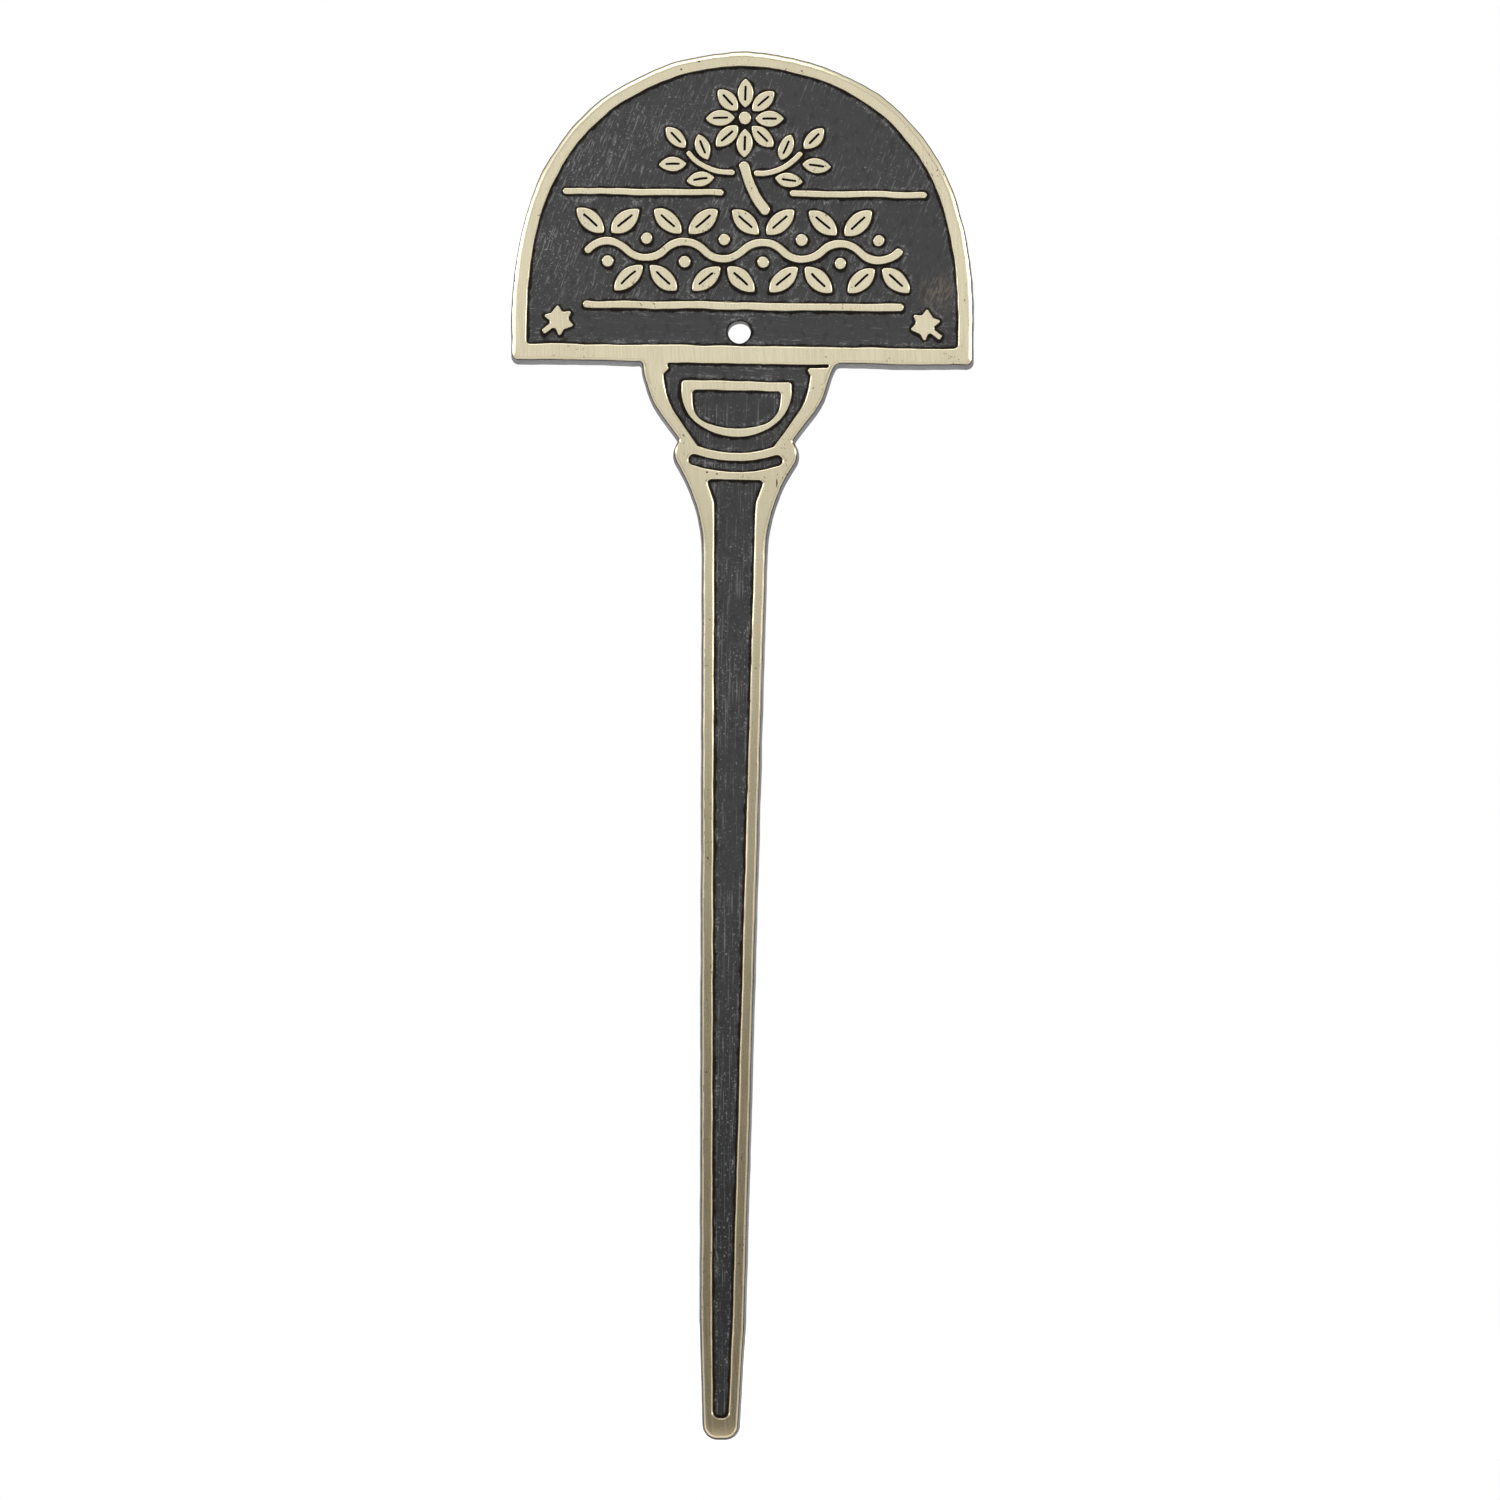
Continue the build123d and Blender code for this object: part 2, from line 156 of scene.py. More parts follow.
charcoal = {
    "paint": (0.0245, 0.0245, 0.0255, 1),
    "thinAndGlint": (0.215, 0.213, 0.210, 1),  # where the rag wiped it thin, and the colour of the painted glints
    "thickAndShade": (0.010, 0.0070, 0.0045, 1),  # run together in corners and between lumps; in the corners also painted shade
    "worn": (0.105, 0.082, 0.056, 1),  # brass coming through
    "deep": (0.011, 0.011, 0.0115, 1),  # painted shade, darker toward the foot of the groove; also darkens the outer edge
    "grooveShadeFrom": (30.0, 110.0),
    "grooveShadeShare": (0.9, 0.25),
    "grooveShadeGloss": 0.6,
    "streak": (0.24, 1.0, 2.4),
    "streakTurn": -20.0,
    "streakCut": (0.66, 0.54),  # where little is wiped, and where much is
    "streakSoft": 0.2,
    "streakGrain": (0.2, 1.0),
    "streakHeight": 0.8,
    "bandTop": 203.2,  # below this the rag went sideways
    "bandHeight": 19.0,
    "bandBlend": 1.0,
    "bandTurn": 90.0,
    "bandShare": 0.4,
    "groove": (186.0, 190.0),  # wiped straight down below the head
    "grooveStreak": (0.17, 1.0, 7.0),
    "grooveWiped": 0.32,
    "patch": (16.0, 16.0, 16.0),
    "patchRange": (0.32, 0.68),
    "patchShare": (0.1, 0.6),
    "wiped": (-36.0, 8.0),  # wiped more toward the left
    "wipedShare": (0.5, 0.0),
    "thinShare": (0.35, 0.9),
    "grain": (0.40, 0.40, 0.40),
    "grainCut": (0.64, 0.56),
    "grainSoft": 0.14,
    "grainHeight": (0.4, 0.9),
    "lump": (1.3, 1.3, 1.8),
    "lumpRange": (0.30, 0.46),  # thicker between the lumps
    "lumpShare": (0.5, 0.0),
    "lumpHeight": (0.8, 2.4),
    "rough": (0.3, 2.2),  # the coat is rougher this near to an edge
    "roughShare": (0.9, 0.0),
    "paintedGlint": (0.42, 0.58, 0.70, 1.0),  # a painted glint on a pale ridge, this far from an edge
    "glintWave": (0.52, 0.64),
    "glintGrain": (0.45, 0.62, 0.0, 0.8),
    # the dark line in the corners, thick paint and painted shade, fades out between these distances from
    # an edge
    "cornerShadeLine": (0.20, 0.48),
    "lineWave": (4.0, 4.0, 4.0),
    "lineShare": 0.8,
    "lineMiddle": 0.9,
    "lineRagged": 0.8,
    "gloss": (0.5, 0.1),  # in the open, and in corners
    "roughness": (0.30, 0.52),
    "bump": 0.05,
    "edgeDeep": 0.6,  # the outer edge is darker
    "edgeGloss": 0.4,  # and duller
}


def makeCharcoal():
    group, given, result = newGroup(
        "charcoalCoat",
        [("Vector", "NodeSocketVector"), ("Gap", "NodeSocketFloat")],
        [
            ("Color", "NodeSocketColor"),
            ("Roughness", "NodeSocketFloat"),
            ("Specular", "NodeSocketFloat"),
            ("Height", "NodeSocketFloat"),
        ],
    )
    at = given["Vector"]
    gap = given["Gap"]
    place = axes(group, at)
    grain = speckle(group, at, charcoal["grain"], detail=3.0, rough=0.6)
    lump = speckle(group, at, charcoal["lump"])
    slow = speckle(group, at, charcoal["lineWave"])

    # marks of the rag: slanting on the head, level along its foot, straight down the groove
    bandTop = charcoal["bandTop"] * mm
    bandFoot = bandTop - charcoal["bandHeight"] * mm
    blend = charcoal["bandBlend"] * mm
    band = fall(group, place["Z"], bandTop - blend, bandTop + blend)
    band = times(group, band, ramp(group, place["Z"], bandFoot, bandFoot + 2 * blend))
    grooveFoot, grooveTop = charcoal["groove"]
    groove = fall(group, place["Z"], grooveFoot * mm, grooveTop * mm)
    slanting = speckle(group, at, charcoal["streak"], charcoal["streakTurn"], detail=1.0)
    level = speckle(group, at, charcoal["streak"], charcoal["bandTurn"], detail=1.0)
    straight = speckle(group, at, charcoal["grooveStreak"], detail=1.0)
    marks = mixValue(group, groove, mixValue(group, band, slanting, level), straight)

    # how much was wiped off
    patches = speckle(group, at, charcoal["patch"])
    patches = ramp(group, patches, *charcoal["patchRange"], *charcoal["patchShare"])
    left, right = charcoal["wiped"]
    wiped = ramp(group, place["X"], left * mm, right * mm, *charcoal["wipedShare"])
    wiped = math2(group, "ADD", patches, wiped)
    wiped = times(group, wiped, mixValue(group, band, 1.0, charcoal["bandShare"]))
    wiped = math2(group, "ADD", wiped, times(group, groove, charcoal["grooveWiped"]))
    edgeRough = ramp(group, gap, *charcoal["rough"], *charcoal["roughShare"])
    amount = math2(group, "MAXIMUM", wiped, edgeRough, clamp=True)

    # pale streaks and specks where the rag wiped the coat thin, and a painted glint on a ridge near each
    # edge
    streaks = math2(group, "SUBTRACT", marks, mixValue(group, amount, *charcoal["streakCut"]))
    streaks = ramp(group, streaks, 0.0, charcoal["streakSoft"])
    streaks = times(group, streaks, mixValue(group, grain, *charcoal["streakGrain"]))
    specks = math2(group, "SUBTRACT", grain, mixValue(group, amount, *charcoal["grainCut"]))
    specks = ramp(group, specks, 0.0, charcoal["grainSoft"])
    wipedAndGlint = math2(group, "MAXIMUM", streaks, specks)
    wipedAndGlint = times(group, wipedAndGlint, mixValue(group, amount, *charcoal["thinShare"]))
    near, crestStart, crestEnd, far = charcoal["paintedGlint"]
    paintedGlint = times(group, ramp(group, gap, near, crestStart), fall(group, gap, crestEnd, far))
    paintedGlint = times(group, paintedGlint, ramp(group, slow, *charcoal["glintWave"]))
    paintedGlint = times(group, paintedGlint, ramp(group, grain, *charcoal["glintGrain"]))
    wipedAndGlint = math2(group, "MAXIMUM", wipedAndGlint, paintedGlint)

    # colour, with a ragged dark line in the corners: thick paint and painted shade
    # painted shade: the coat in the groove darker toward the foot
    grooveShadeFoot, grooveShadeTop = charcoal["grooveShadeFrom"]
    deep = ramp(group, place["Z"], grooveShadeFoot * mm, grooveShadeTop * mm, *charcoal["grooveShadeShare"])
    deep = times(group, groove, deep)
    colour = mixColour(group, deep, charcoal["paint"], charcoal["deep"])
    colour = mixColour(group, wipedAndGlint, colour, charcoal["thinAndGlint"])
    hollow = ramp(group, lump, *charcoal["lumpRange"], *charcoal["lumpShare"])
    colour = mixColour(group, hollow, colour, charcoal["thickAndShade"])
    ragged = math2(group, "ADD", times(group, slow, charcoal["lineShare"]), lump)
    ragged = math2(group, "SUBTRACT", ragged, charcoal["lineMiddle"])
    ragged = times(group, ragged, charcoal["lineRagged"])
    cornerShade = fall(group, math2(group, "ADD", gap, ragged), *charcoal["cornerShadeLine"])
    colour = mixColour(group, cornerShade, colour, charcoal["thickAndShade"])

    gloss = mixValue(group, cornerShade, *charcoal["gloss"])
    gloss = times(group, gloss, mixValue(group, deep, 1.0, charcoal["grooveShadeGloss"]))
    height = times(group, grain, mixValue(group, amount, *charcoal["grainHeight"]))
    waves = times(group, lump, mixValue(group, amount, *charcoal["lumpHeight"]))
    height = math2(group, "ADD", height, waves)
    height = math2(group, "ADD", height, times(group, marks, charcoal["streakHeight"]))
    feed(group, result["Color"], colour)
    feed(group, result["Roughness"], mixValue(group, grain, *charcoal["roughness"]))
    feed(group, result["Specular"], gloss)
    feed(group, result["Height"], height)
    return group


charcoalGroup = makeCharcoal()


def placeCharcoal(tree, coords, gap):
    inputs = {"Vector": coords, "Gap": gap}
    return addNode(tree, "ShaderNodeGroup", inputs, node_tree=charcoalGroup).outputs


rubbedPatch = {  # at the right of the head the brass comes through
    "place": (35.6, 206.4),  # mm
    "reach": 5.5,
    "hatch": (0.3, 1.0, 1.2),
    "hatchRange": (0.42, 0.62),
}


def makePaint():
    material, tree, shader, coords = newMaterial("charcoalPaint")
    coat = placeCharcoal(tree, coords, attribute(tree, "gap"))
    x, z = rubbedPatch["place"]
    away = vectorMath(tree, "DISTANCE", coords, (x * mm, frontY, z * mm))["Value"]
    hatch = speckle(tree, coords, rubbedPatch["hatch"], charcoal["streakTurn"])
    rubbed = fall(tree, away, 0.0, rubbedPatch["reach"] * mm)
    rubbed = times(tree, rubbed, ramp(tree, hatch, *rubbedPatch["hatchRange"]))
    colour = mixColour(tree, rubbed, coat["Color"], charcoal["worn"])
    edge = attribute(tree, "edge")
    colour = mixColour(tree, times(tree, edge, charcoal["edgeDeep"]), colour, charcoal["deep"])
    gloss = times(tree, coat["Specular"], mixValue(tree, edge, 1.0, charcoal["edgeGloss"]))
    feed(tree, shader.inputs["Base Color"], colour)
    feed(tree, shader.inputs["Roughness"], coat["Roughness"])
    feed(tree, shader.inputs["Specular IOR Level"], gloss)
    feed(tree, shader.inputs["Normal"], bump(tree, coat["Height"], charcoal["bump"]))
    return material


# brass: rubbed bare at the front, still painted on its walls; lengths in mm

brass = {
    "bright": (0.78, 0.705, 0.505, 1),
    "dullShade": (0.53, 0.445, 0.285, 1),  # painted shade toward the foot, and tarnish in blotches
    "footShadeLow": 20.0,
    "footShadeHigh": 226.0,
    # painted shade on the outer rounding
    "outside": (0.36, 0.31, 0.23, 1),
    "pit": (0.020, 0.016, 0.010, 1),
    "blotch": (9.0, 9.0, 14.0),
    "blotchMiddle": 0.5,
    "blotchShare": 0.7,
    "line": (0.16, 1.0, 6.0),
    "lineTurn": 4.0,
    "lineRange": (0.3, 0.7),
    "lineHeight": 0.003,
    "speck": (0.5, 0.5, 0.6),
    "specks": (0.66, 0.71, 0.0, 0.7),  # few and small
    "speckBlotch": (-0.02, 0.1),  # and in some blotches only
    "bareDepth": (0.16, 0.26),  # bare to here, painted from here on
    "outsideDepth": 0.20,
    "ragged": 0.16,
    "raggedGrain": (0.7, 0.7, 0.7),
    "roughness": (0.17, 0.21),
    "specular": 0.5,
    "bump": 0.03,
    "coatGap": 0.1,  # the walls get the corner colour: thick paint and painted shade
    "markEdge": (0.6, 1.1),
}
castingMarks = [  # pits and a scrape left from the mould: x, z, half width, half height in mm
    (-8.5, 247.9, 0.24, 0.2),
    (-11.7, 246.4, 0.2, 0.18),
    (-5.9, 173.2, 0.2, 0.18),
    (-4.1, 172.9, 0.2, 0.17),
    (6.7, 171.4, 0.14, 0.9),
]


def makeBrass():
    material, tree, shader, coords = newMaterial("rubbedBrass")
    coat = placeCharcoal(tree, coords, brass["coatGap"])
    place = axes(tree, coords)
    outside = attribute(tree, "outside")
    ragged = times(tree, speckle(tree, coords, brass["raggedGrain"]), brass["ragged"] * mm)
    deeper = times(tree, outside, brass["outsideDepth"] * mm)
    level = math2(tree, "SUBTRACT", math2(tree, "SUBTRACT", place["Y"], ragged), deeper)
    bare = fall(tree, level, *[frontY + depth * mm for depth in brass["bareDepth"]])

    # painted shade: the brass darker toward the foot; the blotches are tarnish
    footShade = fall(tree, place["Z"], brass["footShadeLow"] * mm, brass["footShadeHigh"] * mm)
    blotch = speckle(tree, coords, brass["blotch"], detail=3.0)
    blotch = math2(tree, "SUBTRACT", blotch, brass["blotchMiddle"])
    shadeAndTarnish = math2(tree, "ADD", footShade, times(tree, blotch, brass["blotchShare"]), clamp=True)
    colour = mixColour(tree, shadeAndTarnish, brass["bright"], brass["dullShade"])
    # painted shade: the outer rounding darker
    colour = mixColour(tree, outside, colour, brass["outside"])
    for x, z, wide, high in castingMarks:
        scale = (1 / (wide * mm), 1 / mm, 1 / (high * mm))
        offset = vectorMath(tree, "SUBTRACT", coords, (x * mm, frontY, z * mm))["Vector"]
        scaled = vectorMath(tree, "MULTIPLY", offset, scale)["Vector"]
        away = vectorMath(tree, "DISTANCE", scaled, (0, 0, 0))["Value"]
        colour = mixColour(tree, fall(tree, away, *brass["markEdge"]), colour, brass["pit"])
    specks = ramp(tree, speckle(tree, coords, brass["speck"]), *brass["specks"])
    specks = times(tree, specks, ramp(tree, blotch, *brass["speckBlotch"]))
    colour = mixColour(tree, specks, colour, brass["pit"])

    lines = speckle(tree, coords, brass["line"], brass["lineTurn"])
    shine = mixValue(tree, ramp(tree, lines, *brass["lineRange"]), *brass["roughness"])
    height = mixValue(tree, bare, coat["Height"], times(tree, lines, brass["lineHeight"]))
    gloss = mixValue(tree, bare, coat["Specular"], brass["specular"])
    feed(tree, shader.inputs["Base Color"], mixColour(tree, bare, coat["Color"], colour))
    feed(tree, shader.inputs["Metallic"], bare)
    feed(tree, shader.inputs["Roughness"], mixValue(tree, bare, coat["Roughness"], shine))
    feed(tree, shader.inputs["Specular IOR Level"], gloss)
    feed(tree, shader.inputs["Normal"], bump(tree, height, brass["bump"]))
    return material


paintMaterial = makePaint()
brassMaterial = makeBrass()
print("materials made")


# every outline was cut by hand, so all pieces share one slow wobble across the front

handCut = {
    "seed": 3,
    "longWave": 6.0,  # mm
    "longReach": 0.20,
    "shortWave": 2.3,
    "shortReach": 0.10,
    "steady": 0.35,  # the stake was cut straighter
    "steadyTop": 196.0,
    "steadyFoot": 176.0,
    "lean": -0.8,  # the stake sits a little left of the head's middle
    "leanTop": 195.2,
    "leanFoot": 191.0,
    "leanSide": 19.0,  # and not beyond the foot of the head
    "leanEnd": 28.0,
}
noise.seed_set(handCut["seed"])  # or the wobble would change from run to run


def smoothStep(value, start, end):
    along = min(max((value - start) / (end - start), 0.0), 1.0)
    return along * along * (3 - 2 * along)


def handCutPlace(point):
    flat = Vector((point.x, 0.0, point.z)) / mm
    shift = noise.noise_vector(flat / handCut["longWave"]) * handCut["longReach"]
    shift += noise.noise_vector(flat / handCut["shortWave"]) * handCut["shortReach"]
    stake = smoothStep(flat.z, handCut["steadyTop"], handCut["steadyFoot"])
    shift *= 1 - stake * (1 - handCut["steady"])
    below = smoothStep(flat.z, handCut["leanTop"], handCut["leanFoot"])
    inside = smoothStep(abs(flat.x), handCut["leanEnd"], handCut["leanSide"])
    lean = handCut["lean"] * below * inside
    return Vector((point.x + (shift.x + lean) * mm, point.y, point.z + shift.z * mm))


# mesh helpers

meshing = {
    "join": 0.0005,  # mm
    "skin": 0.002,  # points this near to the front are on it
    "flat": 0.2,  # degrees
    "sharp": 38.0,
}


def joinedCopy(nodeName):  # a node's triangles, joined at their corners
    bm = bmesh.new()
    bm.from_mesh(frame["nodes"][nodeName].data)
    bmesh.ops.remove_doubles(bm, verts=bm.verts[:], dist=meshing["join"] * mm)
    bm.normal_update()
    return bm


def makeWallsWhole(bm):  # flat faces behind the front become single faces
    front = frontY + meshing["skin"] * mm
    bmesh.ops.dissolve_limit(
        bm,
        angle_limit=math.radians(meshing["flat"]),
        use_dissolve_boundaries=False,
        verts=[vert for vert in bm.verts if vert.co.y > front],
        edges=[edge for edge in bm.edges if max(vert.co.y for vert in edge.verts) > front],
        delimit=set(),
    )


def cutLongEdges(bm, step):
    byCuts = defaultdict(list)
    for edge in bm.edges:
        cuts = math.ceil(edge.calc_length() / (step * mm)) - 1
        if cuts > 0:
            byCuts[cuts].append(edge)
    for cuts, edges in byCuts.items():
        bmesh.ops.bisect_edges(bm, edges=edges, cuts=cuts)


# a front filled afresh, with rows of points along its edges and an even spread between them

refill = {
    "rayStart": 5.0,  # mm
    "level": 0.004,  # a point is on the front within this
    "trace": 0.1,  # steps along the edges
    "rowShare": 0.94,  # a row's points that are nearer to some other edge are left out
    "sliver": 0.003,
    "tolerance": 1e-5,
}


def refillFront(bm, faces, rows, spacing):
    chosen = set(faces)
    level = faces[0].verts[0].co.y
    solid = BVHTree.FromBMesh(bm)

    def onFront(place):
        start = Vector((place.x, level - refill["rayStart"] * mm, place.z))
        hit = solid.ray_cast(start, Vector((0, 1, 0)))[0]
        return hit is not None and abs(hit.y - level) < refill["level"] * mm

    edges = dict.fromkeys(edge for face in faces for edge in face.edges)  # in the same order each run
    rim = [edge for edge in edges if len(chosen & set(edge.link_faces)) == 1]
    rimVerts = list(dict.fromkeys(vert for edge in rim for vert in edge.verts))
    along = []
    for edge in rim:
        count = math.ceil(edge.calc_length() / (refill["trace"] * mm))
        start, end = edge.verts
        along.extend((start.co.lerp(end.co, i / count), start) for i in range(count))
    nearest = KDTree(len(along))
    for i, (place, vert) in enumerate(along):
        nearest.insert(place, i)
    nearest.balance()

    points = []
    for edge in rim:
        start, end = edge.verts
        face = next(face for face in edge.link_faces if face in chosen)
        middle = (start.co + end.co) / 2
        inward = (end.co - start.co).cross(face.normal).normalized()
        if inward.dot(face.calc_center_median() - middle) < 0:
            inward.negate()
        for row in rows:
            place = middle + inward * row * mm
            if nearest.find(place)[2] > refill["rowShare"] * row * mm:
                points.append(place)
    lowX = min(vert.co.x for vert in rimVerts)
    lowZ = min(vert.co.z for vert in rimVerts)
    wide = math.ceil((max(vert.co.x for vert in rimVerts) - lowX) / (spacing * mm))
    high = math.ceil((max(vert.co.z for vert in rimVerts) - lowZ) / (spacing * mm))
    for j in range(high):
        for i in range(wide):
            x = lowX + (i + j % 2 / 2) * spacing * mm
            place = Vector((x, level, lowZ + j * spacing * mm))
            if nearest.find(place)[2] > (rows[-1] + spacing / 2) * mm and onFront(place):
                points.append(place)

    number = {vert: i for i, vert in enumerate(rimVerts)}
    flat = [Vector((p.x, p.z)) / mm for p in [vert.co for vert in rimVerts] + points]
    pairs = [[number[vert] for vert in edge.verts] for edge in rim]
    places, _, triangles, sources, *_ = delaunay_2d_cdt(flat, pairs, [], 0, refill["tolerance"])
    bmesh.ops.delete(bm, geom=faces, context="FACES")
    fresh = [bm.verts.new(place) for place in points]
    verts = rimVerts + fresh
    for triangle in triangles:
        centre = sum((places[i] for i in triangle), Vector((0, 0))) / 3 * mm
        centre = Vector((centre.x, level, centre.y))
        if nearest.find(centre)[2] > refill["sliver"] * mm and onFront(centre):
            bm.faces.new([verts[sources[i][0]] for i in triangle])
    loose = [vert for vert in fresh if not vert.link_faces]
    bmesh.ops.delete(bm, geom=loose, context="VERTS")
    gaps = {}
    for vert in rimVerts + [vert for vert in fresh if vert.is_valid]:
        place, index, away = nearest.find(vert.co)
        gaps[vert] = away / mm, along[index][1]
    return gaps  # each vertex with its distance from the edge and the edge's vertex


def finishPiece(bm, name, nodeName, material, normals=None):
    for vert in bm.verts:
        vert.co = handCutPlace(vert.co)
    bmesh.ops.triangulate(bm, faces=bm.faces[:], quad_method="BEAUTY", ngon_method="BEAUTY")
    bm.normal_update()
    for face in bm.faces:
        face.smooth = True
    sharp = math.radians(meshing["sharp"])
    for edge in bm.edges:
        edge.smooth = len(edge.link_faces) == 2 and edge.calc_face_angle(0.0) < sharp
    mesh = bpy.data.meshes.new(name)
    bm.to_mesh(mesh)
    if normals:  # the rest keep the smooth normals of the mesh
        mesh.normals_split_custom_set_from_vertices([normals.get(vert, Vector()) for vert in bm.verts])
    bm.free()
    mesh.materials.append(material)
    piece = bpy.data.objects.new(name, mesh)
    scene.collection.objects.link(piece)
    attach(piece, "root")
    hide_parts(nodeName)
    print("piece", name, "triangles", len(mesh.polygons))


# the casting: edges rubbed round, more so all round the outside, with painted shade on the outer
# rounding

casting = {
    "step": 0.7,  # mm
    "rows": (0.15, 0.35, 0.6, 0.85),
    "spacing": 1.2,
    "wallDepth": 3.0,
    "holeReach": 4.0,
    "headFoot": 189.5,
    "probe": 0.01,  # step that a slope is measured over
    "level": 0.0001,  # a point less deep than this is on the front
    "roundSkin": 0.001,
    "frontFacing": -0.9999,  # faces that look straight ahead, by y
    "under": (0.0, -0.4),  # outside edges that look down, by z
    "upright": (0.8, 0.3),  # inner edges that look sideways, by z
}
# each edge's rounding in the CAD, how far it is rubbed, and the shares of deep that get painted shade
innerEdge = {"round": 0.25, "wide": 0.25, "deep": 0.25}
grooveEdge = {"round": 0.25, "wide": 0.44, "deep": 0.28}  # upright edges of the bowl, ring and groove
headEdge = {"round": 0.4, "wide": 1.0, "deep": 0.46, "dullShade": (0.5, 0.95)}
stakeEdge = {"round": 0.4, "wide": 0.46, "deep": 0.40, "dullShade": (0.0, 0.3)}
underEdge = {"round": 0.4, "wide": 0.40, "deep": 0.36, "dullShade": (0.05, 0.4)}  # looking down


def rubbedDepth(edge, depth, gap):
    rounding = edge["round"]
    fromWall = rounding + gap
    if depth > casting["level"]:
        fromWall = rounding - math.sqrt(max(rounding**2 - (rounding - depth) ** 2, 0.0))
    reach = max(1 - fromWall / edge["wide"], 0.0)
    return edge["deep"] * (1 - math.sqrt(1 - reach * reach))


def findOutside(bm):  # the wall all round the outside, and the rounding up to the front face
    mounts = {mount["name"]: Vector(mount["pos_m"]) for mount in frame["record"]["mounts"]}
    hole = mounts["screw_hole"]
    outside = set()
    for vert in bm.verts:
        fromHole = math.hypot(vert.co.x - hole.x, vert.co.z - hole.z)
        if vert.co.y > frontY + casting["wallDepth"] * mm and fromHole > casting["holeReach"] * mm:
            outside.add(vert)
    waiting = list(outside)
    while waiting:
        for face in waiting.pop().link_faces:
            if face.normal.y > casting["frontFacing"]:
                fresh = [vert for vert in face.verts if vert not in outside]
                outside.update(fresh)
                waiting.extend(fresh)
    return outside


def makeCasting():
    bm = joinedCopy("brass_casting")
    dullShade = bm.verts.layers.float.new("outside")
    makeWallsWhole(bm)
    cutLongEdges(bm, casting["step"])
    bm.normal_update()
    outside = findOutside(bm)
    outward = {vert: Vector((vert.normal.x, 0, vert.normal.z)).normalized() for vert in bm.verts}
    level = frontY + meshing["skin"] * mm
    front = [face for face in bm.faces if max(vert.co.y for vert in face.verts) < level]
    gaps = refillFront(bm, front, casting["rows"], casting["spacing"])
    forward = Vector((0, -1, 0))
    probe = casting["probe"]
    normals = {}
    for vert in bm.verts:
        depth = (vert.co.y - frontY) / mm
        gap, edgeVert = gaps.get(vert, (0.0, vert))
        onHead = edgeVert.co.z > casting["headFoot"] * mm
        upright = 0.0 if onHead else smoothStep(abs(outward[edgeVert].z), *casting["upright"])
        shapes = [(innerEdge, 1 - upright), (grooveEdge, upright)]
        if edgeVert in outside:
            under = smoothStep(outward[edgeVert].z, *casting["under"])
            shapes = [(headEdge if onHead else stakeEdge, 1 - under), (underEdge, under)]
        if depth > shapes[0][0]["round"] + casting["roundSkin"]:
            vert[dullShade] = float(vert in outside)
            continue
        rubbed = 0.0
        slope = 0.0
        for shape, share in shapes:
            deep = rubbedDepth(shape, depth, gap)
            rubbed += share * deep
            slope += share * (deep - rubbedDepth(shape, depth, gap + probe)) / probe
            # the share of painted shade on the outer rounding
            if "dullShade" in shape:
                vert[dullShade] += share * smoothStep(deep / shape["deep"], *shape["dullShade"])
        vert.co.y = frontY + rubbed * mm
        if vert in gaps:
            normals[vert] = (forward + outward[edgeVert] * slope).normalized()
    finishPiece(bm, "castBrass", "brass_casting", brassMaterial, normals)


makeCasting()


# films of paint: lumpy, and drawn up a little against each raised edge

film = {
    "step": 0.6,  # mm
    "rows": (0.15, 0.32, 0.55),
    "spacing": 0.75,
    "creep": 0.10,
    "creepReach": 0.4,
    "lumpWave": 2.6,
    "lumpHeight": 0.045,
    "frontFacing": -0.99,
}
films = {
    "fieldPaint": "label_field_paint",
    "bowlPaint": "bowl_paint",
    "cupPaint": "cup_paint",
    "collarPaint": "collar_paint",
    "channelPaint": "stake_channel_paint",
}


def filmFront(bm):  # the front of the coat itself, without the veins on the leaves
    levels = defaultdict(list)
    for face in bm.faces:
        if face.normal.y < film["frontFacing"]:
            levels[round(face.calc_center_median().y / mm, 2)].append(face)
    return max(levels.values(), key=lambda faces: sum(face.calc_area() for face in faces))


def makeFilm(name, nodeName):
    bm = joinedCopy(nodeName)
    stored = bm.verts.layers.float.new("gap")
    cutLongEdges(bm, film["step"])
    gaps = refillFront(bm, filmFront(bm), film["rows"], film["spacing"])
    for vert, (gap, edgeVert) in gaps.items():
        vert[stored] = gap
        drawn = max(1 - gap / film["creepReach"], 0.0) ** 2 * film["creep"]
        lump = noise.noise(vert.co / (film["lumpWave"] * mm)) * film["lumpHeight"]
        vert.co.y -= (drawn + lump * min(gap / film["creepReach"], 1.0)) * mm
    finishPiece(bm, name, nodeName, paintMaterial)


for pieceName, nodeName in films.items():
    makeFilm(pieceName, nodeName)


# paint on the outer edge and the back, without dark lines at its corners

edgeBack = {"step": 0.7, "skin": 0.01}  # mm


def makeEdgeBack():
    bm = joinedCopy("edge_and_back_paint")
    makeWallsWhole(bm)
    cutLongEdges(bm, edgeBack["step"])
    gap = bm.verts.layers.float.new("gap")
    edge = bm.verts.layers.float.new("edge")
    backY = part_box("edge_and_back_paint")[1][1]
    for vert in bm.verts:
        vert[gap] = charcoal["rough"][1]
        vert[edge] = float(vert.co.y < backY - edgeBack["skin"] * mm)
    finishPiece(bm, "edgeBackPaint", "edge_and_back_paint", paintMaterial)


makeEdgeBack()
print("pieces made")


# stage: pale floor, white surroundings that are dimmer low in front, one large softbox

stage = {
    "back": 3.0,  # metres
    "front": 0.03,
    "side": 2.0,
    "level": -0.0003,
    "white": 0.62,
    "grey": (0.82, 0.82, 0.82, 1),
}


